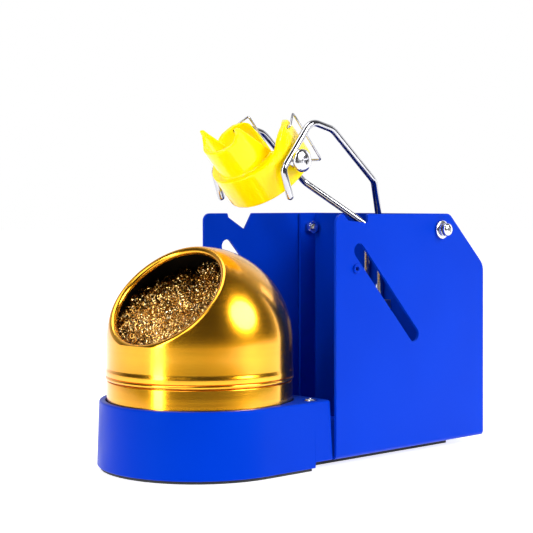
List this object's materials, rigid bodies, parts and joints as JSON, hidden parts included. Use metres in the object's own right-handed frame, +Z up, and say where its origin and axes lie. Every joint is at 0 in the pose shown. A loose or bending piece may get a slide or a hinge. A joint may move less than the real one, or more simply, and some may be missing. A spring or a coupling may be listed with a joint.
{
  "type": "soldering iron station",
  "caption": "Bench stand for a soldering iron: folded steel stand, tilting iron receptacle on wire arms, and a brass wool tip cleaner under a round dome in a tray.",
  "frame": {"origin": "centre of the whole object's footprint, on the surface it stands on", "axes": "+Z up; +X from the tip cleaner towards the back end of the stand; the iron lies in the XZ plane and slopes down towards +X"},
  "size_m": [0.1731, 0.0962, 0.1468],
  "materials": {
    "blue_paint": "satin",
    "yellow_plastic": "gloss",
    "gold_anodised": "satin",
    "brass_wool": "satin",
    "bright_steel": "polished",
    "spring_steel": "polished",
    "plated_zinc": "satin",
    "black_rubber": "matte"
  },
  "bodies": {
    "stand": {"stand": "blue_paint", "stand_mat": "black_rubber", "end_panel": "blue_paint", "eyelet_near": "blue_paint", "eyelet_far": "blue_paint", "panel_washer_near": "bright_steel", "panel_washer_far": "bright_steel", "spring_washer_near": "bright_steel", "spring_washer_far": "bright_steel", "panel_screw_near": "bright_steel", "panel_screw_far": "bright_steel", "panel_nut_near": "bright_steel", "panel_nut_far": "bright_steel", "wire_arm_near": "spring_steel", "wire_arm_far": "spring_steel", "arm_clamp": "plated_zinc", "clamp_screw_upper": "bright_steel", "clamp_screw_lower": "bright_steel", "clamp_nut_upper": "bright_steel", "clamp_nut_lower": "bright_steel", "pivot_screw_near": "bright_steel", "pivot_screw_far": "bright_steel", "pivot_nut_near": "bright_steel", "pivot_nut_far": "bright_steel", "cleaner_tray": "blue_paint", "tray_screw_near": "bright_steel", "tray_screw_far": "bright_steel", "tray_pad": "black_rubber"},
    "receptacle": {"receptacle": "yellow_plastic"},
    "bail": {"bail": "spring_steel"},
    "cleaner": {"cleaner_cup": "gold_anodised", "cleaning_wool": "brass_wool"},
    "dome": {"cleaner_dome": "gold_anodised"}
  },
  "joints": [
    {"name": "receptacle_tilt", "type": "hinge", "parent": "stand", "child": "receptacle", "pos_m": [-0.0095, 0, 0.1262], "axis": [0, 1, 0], "range_deg": [-20, 20]},
    {"name": "bail_swing", "type": "hinge", "parent": "receptacle", "child": "bail", "pos_m": [-0.01156, 0, 0.14014], "axis": [0, -1, 0], "range_deg": [0, 60]},
    {"name": "cleaner_turn", "type": "hinge", "parent": "stand", "child": "cleaner", "pos_m": [-0.0443, 0, 0.007], "axis": [0, 0, 1], "continuous": true},
    {"name": "dome_lift", "type": "slide", "parent": "cleaner", "child": "dome", "axis": [0, 0, 1], "range_m": [0, 0.015]}
  ]
}
